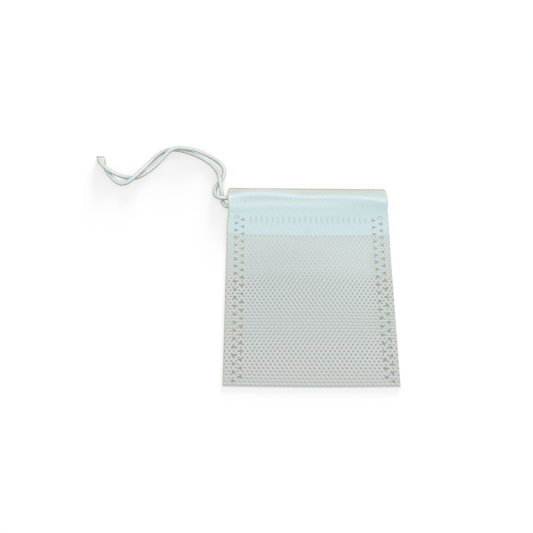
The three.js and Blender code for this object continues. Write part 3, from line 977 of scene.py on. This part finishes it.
def cut_prints(sheet, settings, material):
    """Presses every weld into the outer face of both panels, while the sheet is still flat."""
    tree = print_tree()
    for kind, (outline, share) in WELDS.items():
        shape = prism_object(kind, outline, -settings.weld_depth * share, CUT_HEIGHT)
        welds = [(x, way * flat_place(y), turn) for x, y, turn in weld_places()[kind] for way in (1, -1)]
        points = points_mesh(kind, [weld[:2] for weld in welds], [weld[2] for weld in welds])
        cutter = run_tree(kind + "_prints", points, tree, {"Print": shape, "Material": material})
        cut = sheet.modifiers.new(kind, "BOOLEAN")
        cut.operation, cut.solver, cut.object = "DIFFERENCE", "MANIFOLD", cutter
        mesh = finished_mesh(sheet)
        sheet.modifiers.clear()
        sheet.data = mesh
        for spare in (cutter, shape):
            bpy.data.objects.remove(spare)


# How far from the mouth's fold the sheet still bends over the cord
TUNNELS_REACH = 0.0135


def row_cuts(row_pitch):
    """Where the flat sheet needs an extra row of points, so that it can turn at its folds and over the cord."""
    bends = [FOLD_END * part / 3 for part in (1, 2, 3)]
    turns = [PANEL_END + (TURN_END - PANEL_END) * part / 5 for part in range(6)]
    rows = [(k + 0.5) * row_pitch for k in range(int(PANEL_END / row_pitch) - 10, int(SHEET_END / row_pitch))]
    hem = [row for row in rows if min(abs(row - PANEL_END), abs(row - TURN_END)) < TUNNELS_REACH]
    front = [row for row in hem if not PANEL_END - 0.0003 < row < TURN_END + 0.0003]
    back = [row for row in front if row > TURN_END]
    return [*bends, *turns, *front, *(-row for row in [*bends, *turns, *back])]


class FILTERBAG_OT_cloth(bpy.types.Operator):
    """Makes the embossed cloth flat, presses the welds into it, and folds it into the bag"""

    bl_idname = "filterbag.cloth"
    bl_label = "Fold the cloth"

    def execute(self, context):
        settings = context.scene.filterbag_cloth
        material = cloth_material(settings)
        tiles = {name: tile_mesh(name, settings, dot) for name, dot in TILES.items()}
        columns = 2 * math.ceil(HALF / settings.dot_pitch) + 4
        sheet = run_tree("cloth_bag", bpy.data.meshes.new("cloth_start"), cloth_tree(), {
            "Width": 2 * HALF, "Length": 2 * SHEET_END, "Panel end": PANEL_END, "Thickness": THICKNESS,
            "Dot pitch": settings.dot_pitch, "Row pitch": settings.row_pitch, "Row shift": settings.row_shift,
            "Rows": 2 * math.ceil(SHEET_END / settings.row_pitch), "Columns": columns, "Material": material, **tiles,
        })
        for tile in tiles.values():
            bpy.data.objects.remove(tile)
        cut_prints(sheet, settings, material)
        fold_flat_sheet(sheet.data, row_cuts(settings.row_pitch))
        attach(sheet, "root")
        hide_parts("filter_bag")
        2 * SHEET_END
        return {"FINISHED"}


def all_of(items, name, kind=float, size=1):
    """What every vertex, corner or face of a mesh has under one name."""
    values = np.empty(len(items) * size, kind)
    items.foreach_get(name, values)
    return values if size == 1 else values.reshape(-1, size)


def fold_flat_sheet(mesh, cuts):
    """Adds the rows that the folds need, keeps the flat places as a map, and folds the sheet."""
    bm = bmesh.new()
    bm.from_mesh(mesh)
    for cut in cuts:
        everything = [*bm.verts, *bm.edges, *bm.faces]
        bmesh.ops.bisect_plane(bm, geom=everything, dist=1e-7, plane_co=(0, cut, 0), plane_no=(0, 1, 0))
    bmesh.ops.recalc_face_normals(bm, faces=bm.faces)
    loose = [edge for edge in bm.edges if len(edge.link_faces) != 2]
    if loose:
        raise RuntimeError(f"the cloth isn't closed: {len(loose)} edges don't join two faces")
    for edge in bm.edges:
        edge.smooth = edge.calc_face_angle(0) < math.radians(50)
    bm.to_mesh(mesh)
    bm.free()
    flat = all_of(mesh.vertices, "co", size=3)
    corners = all_of(mesh.loops, "vertex_index", int)
    normals, sizes = all_of(mesh.polygons, "normal", size=3), all_of(mesh.polygons, "loop_total", int)
    facing = np.repeat(normals, sizes, axis=0)
    for name, places in (("Flat", flat[corners, :2]), ("OFBake", side_by_side(flat[corners], facing))):
        mesh.uv_layers.new(name=name).data.foreach_set("uv", places.astype(np.float32).ravel())
    for name, values in sheet_marks(flat).items():
        mesh.attributes.new(name, "FLOAT", "POINT").data.foreach_set("value", values.astype(np.float32))
    mesh.vertices.foreach_set("co", folded(flat).ravel())
    mesh.update()
    mesh.shade_smooth()


def side_by_side(corners, facing):
    """The sheet's outer and inner faces as two strips in the unit square, with the cut edges round the outer one."""
    margin = 0.001
    inner = facing[:, 2] < -0.5
    wall = (np.abs(facing[:, 2]) < 0.5) & (corners[:, 2] < -0.75 * THICKNESS)
    place = corners[:, :2] + np.where(wall[:, None], facing[:, :2] * THICKNESS, 0)
    place += (HALF + margin, SHEET_END + margin)
    place[:, 0] += np.where(inner, 2 * HALF + margin, 0)
    return place / (2 * (SHEET_END + margin))


def sheet_marks(flat):
    """What the finish needs to know at each point: how near it is to either cord, whether it is in a weld, and how
    far the layer behind seems to slip. The welds are told apart by their depth."""
    x, v, depth = flat.T
    y = np.abs(v) - FOLD_END + BOTTOM_ROW
    sag = 0.0003 + 0.0003 * smoothstep(x, -0.01, 0.005) + 0.0004 * smoothstep(x, 0.015, HALF)
    lifted = np.where(np.abs(v) < PANEL_END, front_panel_z(x, np.clip(y, BOTTOM_ROW, MOUTH_ROW)) - BACK_PANEL_Z, 0)
    return {
        "slip": 0.46 * lifted,
        "front_cord": np.clip(y - front_cord_y(x) + sag, -0.01, 0.01),
        "back_cord": np.clip(y - back_cord_y(x), -0.01, 0.01),
        "weld": ((depth < -0.000085) & (depth > -0.00015)).astype(float),
        "tick": ((depth < -0.0000425) & (depth > -0.000058)) * np.where(depth > -0.00005, 3.2, 1.0),
    }


def bond_group():
    """How deep in a bond dot a place on the flat sheet is, from 0 between the dots to 1 in the middle of one."""
    tree = bpy.data.node_groups.new("Bond dots", "ShaderNodeTree")
    names = ("X", "Along", "Dot pitch", "Row pitch", "Row shift", "Length", "Width", "Softness")
    for name in names:
        tree.interface.new_socket(name, in_out="INPUT", socket_type="NodeSocketFloat")
    tree.interface.new_socket("Dot", in_out="OUTPUT", socket_type="NodeSocketFloat")
    given = tree.nodes.new("NodeGroupInput").outputs
    output = tree.nodes.new("NodeGroupOutput")
    x, along, pitch, row_pitch, row_shift, length, width, softness = (Number(tree, given[name]) for name in names)
    row = maths(tree, "FLOOR", along / row_pitch)
    u = (x - row * row_shift + pitch * 0.5) % pitch - pitch * 0.5
    w = along - (row + 0.5) * row_pitch
    turn = (0.5 - row % 2.0) * (2 * DOT_TURN)
    c, s = maths(tree, "COSINE", turn), maths(tree, "SINE", turn)
    far = ((u * c + w * s) / (length * 0.5)) ** 2.0 + ((w * c - u * s) / (width * 0.5)) ** 2.0
    dot = spread(tree, maths(tree, "SQRT", far), 1.0 - softness, softness + 1.0, 1.0, 0.0)
    tree.links.new(dot.socket, output.inputs[0])
    return tree


def attribute(tree, name):
    return Number(tree, add_node(tree, "ShaderNodeAttribute", attribute_name=name).outputs["Fac"])


def fibres(tree, place):
    """Fine fibres lying at random: streaks in three directions, of which the strongest shows."""
    streaks = []
    for turn in (0.35, 1.45, 2.5):
        mapping = {"Vector": place, "Rotation": (0, 0, turn), "Scale": (700.0, 9000.0, 1.0)}
        streaks.append(noise(tree, first_of(tree, "ShaderNodeMapping", mapping), 1.0, 2.0, Distortion=0.6))
    return most(*streaks)


# The cloth's smaller tones, beside those in its settings
DULL_FIBRE = (0.55, 0.60, 0.585)
LIT_FIBRE = (0.9, 0.93, 0.93)
# Over the cords: the cord showing through, its painted highlight, and the painted light below the back cord
CORD_AND_PAINTED_LIGHT = (0.735, 0.885, 0.918)
TICK_TONE = (0.36, 0.41, 0.41)
FADED_WELD = (0.6, 0.66, 0.62)
HEM_WELD = (0.38, 0.375, 0.32)


def cloth_material(settings):
    """Spunbonded cloth: fine fibres, with melted dots in this layer, and those of the layer behind showing through."""
    finish = {"Roughness": 0.62, "Specular IOR Level": 0.3, "Sheen Weight": 0.05}
    material, tree, shader = new_material("spunbonded_cloth", finish)
    ramp, mix = partial(spread, tree), partial(mix_colour, tree)
    uv = first_of(tree, "ShaderNodeUVMap", uv_map="Flat")
    x, along, _ = parts_of(tree, uv)
    reach = abs(along)
    marks = ("slip", "front_cord", "back_cord", "weld", "tick")
    slip, front_cord, back_cord, weld, tick = (attribute(tree, name) for name in marks)

    # How many layers there are, inside the hem's cut edge, which is a little bowed, and outside it
    bow = x * (x * 0.735 - 0.0062) - 0.00031
    from_edge = reach - flat_place(HEM_EDGE_Y) - bow
    in_hem = ramp(from_edge, -0.0001, 0.0001) * ramp(reach, TURN_END - 0.0001, TURN_END, 1.0, 0.0)
    low_down = ramp(reach, flat_place(0.009), flat_place(0.018), 0.45, 0.0)
    low_down = low_down + ramp(reach, flat_place(BOTTOM_Y), flat_place(0.009), 0.55, 0.0, smooth=False)
    two_layers = mix(low_down, settings.body_colour, settings.low_colour)
    between_cords = ramp(front_cord, -0.0012, -0.0006, 0.4, 0.0) * ramp(back_cord, 0.0006, 0.0012)
    past_cord = most(ramp(front_cord, 0.0006, 0.0014), between_cords)
    thick = mix(in_hem, two_layers, mix(past_cord, settings.hem_colour, settings.mouth_colour))

    cloud, threads = noise(tree, uv, 420.0, 3.0), fibres(tree, uv)
    mottled = mix(ramp(cloud, 0.3, 0.7, 0.0, 0.10), thick, DULL_FIBRE)
    lit = mix(ramp(threads, 0.55, 0.75, 0.0, 0.10), mottled, LIT_FIBRE)

    # The dots show most where the layers are pressed close, low down; in the first row below the hem, painted shade
    # under the flap's edge darkens them more
    group = bond_group()

    def dots(place, softness):
        inputs = {
            "X": x, "Along": place, "Dot pitch": settings.dot_pitch, "Row pitch": settings.row_pitch,
            "Row shift": settings.row_shift, "Length": settings.dot_length, "Width": settings.dot_width,
            "Softness": softness,
        }
        return Number(tree, first_of(tree, "ShaderNodeGroup", inputs, node_tree=group))

    own, behind = dots(along, 0.35), dots((reach + slip) * (maths(tree, "SIGN", along) * -1.0), 0.5)
    # Painted shadow: the first row of dots below the hem is darker, as if shaded by the flap's edge above it
    shade_under_flap_edge = ramp(from_edge, -0.0017, -0.0013) * ramp(from_edge, -0.0002, 0.0001, 1.0, 0.0)
    pressed_close_and_flap_shade = ramp(reach, flat_place(-0.001), flat_place(0.006), 1.0, 0.35) + shade_under_flap_edge * 0.22
    clear = least(own * 0.6 + behind * 0.45, 1.0) * ramp(in_hem, 0.0, 1.0, 1.0, 0.05, smooth=False)
    dotted = mix(clear * pressed_close_and_flap_shade, lit, settings.dot_colour)

    # The cord in the front tunnel shows clearly through the cloth, with a painted highlight on the ridge over it, and
    # the one in the back tunnel faintly; below the back cord, painted light brightens the slope that the lamps leave
    # in shade
    over_front = ramp(abs(front_cord), 0.0004, 0.0013, 1.0, 0.0)
    over_back = ramp(abs(back_cord), 0.0004, 0.0015, 0.5, 0.0)
    # Painted light: a paler band on the slope below the back cord, where the lamps shade it
    below = ramp(back_cord, -0.0052, -0.0035) * ramp(back_cord, -0.0013, -0.0008, 0.32, 0.0)
    corded = mix(most(over_front, over_back, below) * in_hem * 0.66, dotted, CORD_AND_PAINTED_LIGHT)

    ticked = mix(tick * 0.27, corded, TICK_TONE)
    faded = ramp(reach, flat_place(0.002), flat_place(0.018), 0.0, 0.3)
    weld_tone = mix(in_hem, mix(faded, settings.weld_colour, FADED_WELD), HEM_WELD)
    welded = mix(weld * 0.85, ticked, weld_tone)

    at_mouth = ramp(abs(reach - (PANEL_END + TURN_END) / 2), 0.0004, 0.0009, 0.9, 0.0)
    at_left = ramp(x, -HALF + 0.0002, -HALF + 0.0007, 0.7, 0.0)
    at_right = ramp(x, HALF - 0.0004, HALF - 0.0001, 0.0, 0.55)
    edged = mix(most(at_mouth, at_left, at_right), welded, settings.edge_colour)
    give_surface(tree, shader, edged, threads * 0.6 + cloud * 0.4, 0.35, 0.00006)
    return material


WHITE = (1, 1, 1, 1)
FLOOR_REACH = 3.0
FLOOR_Z = -0.00004
FLOOR_GLOW = 0.655


class FILTERBAG_OT_stage(bpy.types.Operator):
    """Sets the white floor, the soft light and the camera"""

    bl_idname = "filterbag.stage"
    bl_label = "Set the stage"

    def execute(self, context):
        settings = context.scene.filterbag_stage
        scene = context.scene
        corners = [(x * FLOOR_REACH, y * FLOOR_REACH, FLOOR_Z) for x, y in ((-1, -1), (1, -1), (1, 1), (-1, 1))]
        floor = shown("floor", mesh_of("floor", corners, [(0, 1, 2, 3)]))
        floor.data.materials.append(floor_material())
        scene.world = studio_world(settings.fill)

        # Each lamp's strength, where it shines from, and how wide it is in degrees
        for name, strength, place, width in (
            ("high_lamp", settings.high_lamp, (0.4, -0.35, 0.85), 50),
            ("low_lamp", settings.low_lamp, (0.9, 0.3, 0.24), 24),
            ("floor_lamp", settings.floor_lamp, (0.24, 0.965, 0.115), 26),
        ):
            lamp = bpy.data.lights.new(name, "SUN")
            lamp.energy, lamp.angle = strength, math.radians(width)
            lamp_object = shown(name, lamp)
            lamp_object.location = place
            lamp_object.rotation_euler = (-Vector(place)).to_track_quat("-Z", "Y").to_euler()
        lit = bpy.data.collections.new("lit_by_floor_lamp")
        lit.objects.link(floor)
        lamp_object.light_linking.receiver_collection = lit

        camera = bpy.data.cameras.new("camera")
        camera.sensor_width, camera.lens = 36, settings.lens
        camera.clip_start, camera.clip_end = 0.01, 20
        camera_object = shown("camera", camera)
        place, aim = Vector(settings.camera_place), Vector(settings.camera_aim)
        ahead = (aim - place).normalized()
        right = ahead.cross(Vector((0, 1, 0))).normalized()
        level = Matrix((right, right.cross(ahead), -ahead)).transposed().to_quaternion()
        camera_object.location = place
        camera_object.rotation_euler = (level @ Quaternion((0, 0, 1), settings.camera_roll)).to_euler()
        scene.camera = camera_object
        scene.view_settings.view_transform = "Standard"
        return {"FINISHED"}


def seen_directly(tree):
    """1 where the camera sees a place, in a mirror or through glass too, and 0 where it only lights other things."""
    path = add_node(tree, "ShaderNodeLightPath").outputs
    return most(*(Number(tree, path[f"Is {kind} Ray"]) for kind in ("Camera", "Glossy", "Transmission")))


def studio_world(strength):
    """Even light from all round, which is plain white where it is seen."""
    world = bpy.data.worlds.new("studio")
    tree = empty_tree(world)
    fill, white = (
        first_of(tree, "ShaderNodeBackground", {"Color": WHITE, "Strength": value}) for value in (strength, 1.0)
    )
    either = first_of(tree, "ShaderNodeMixShader", {0: seen_directly(tree), 1: fill, 2: white})
    add_node(tree, "ShaderNodeOutputWorld", {0: either})
    return world


def floor_material():
    """White to the camera where nothing shades it, and pale to everything else."""
    material = bpy.data.materials.new("floor_white")
    tree = empty_tree(material)
    seen = seen_directly(tree)
    shade = mix_colour(tree, seen, (0.55, 0.55, 0.55), (0.25, 0.25, 0.25))
    diffuse = first_of(tree, "ShaderNodeBsdfDiffuse", {"Color": shade})
    glow = first_of(tree, "ShaderNodeEmission", {"Color": WHITE, "Strength": seen * FLOOR_GLOW})
    add_node(tree, "ShaderNodeOutputMaterial", {0: first_of(tree, "ShaderNodeAddShader", {0: diffuse, 1: glow})})
    return material


class FILTERBAG_PT_panel(bpy.types.Panel):
    """The filter bag's pieces, with their sizes and colours"""

    bl_idname = "FILTERBAG_PT_panel"
    bl_label = "Filter bag"
    bl_space_type = "VIEW_3D"
    bl_region_type = "UI"
    bl_category = "Filter bag"

    def draw(self, context):
        for operator, group in STEPS:
            box = self.layout.box()
            box.operator(operator)
            settings = getattr(context.scene, group)
            for name in settings.bl_rna.properties.keys():
                if name not in ("rna_type", "name"):
                    box.prop(settings, name)


STEPS = (
    ("filterbag.cord", "filterbag_cord"), ("filterbag.cloth", "filterbag_cloth"),
    ("filterbag.stage", "filterbag_stage"),
)
GROUPS = {"filterbag_cord": CordSettings, "filterbag_cloth": ClothSettings, "filterbag_stage": StageSettings}
CLASSES = (*GROUPS.values(), FILTERBAG_OT_cord, FILTERBAG_OT_cloth, FILTERBAG_OT_stage, FILTERBAG_PT_panel)


def register():
    for item in CLASSES:
        bpy.utils.register_class(item)
    for name, group in GROUPS.items():
        setattr(bpy.types.Scene, name, PointerProperty(type=group))


def unregister():
    for name in GROUPS:
        delattr(bpy.types.Scene, name)
    for item in reversed(CLASSES):
        bpy.utils.unregister_class(item)


def main():
    register()
    bpy.ops.filterbag.cord()
    bpy.ops.filterbag.cloth()
    bpy.ops.filterbag.stage()


if __name__ == "__main__":
    main()
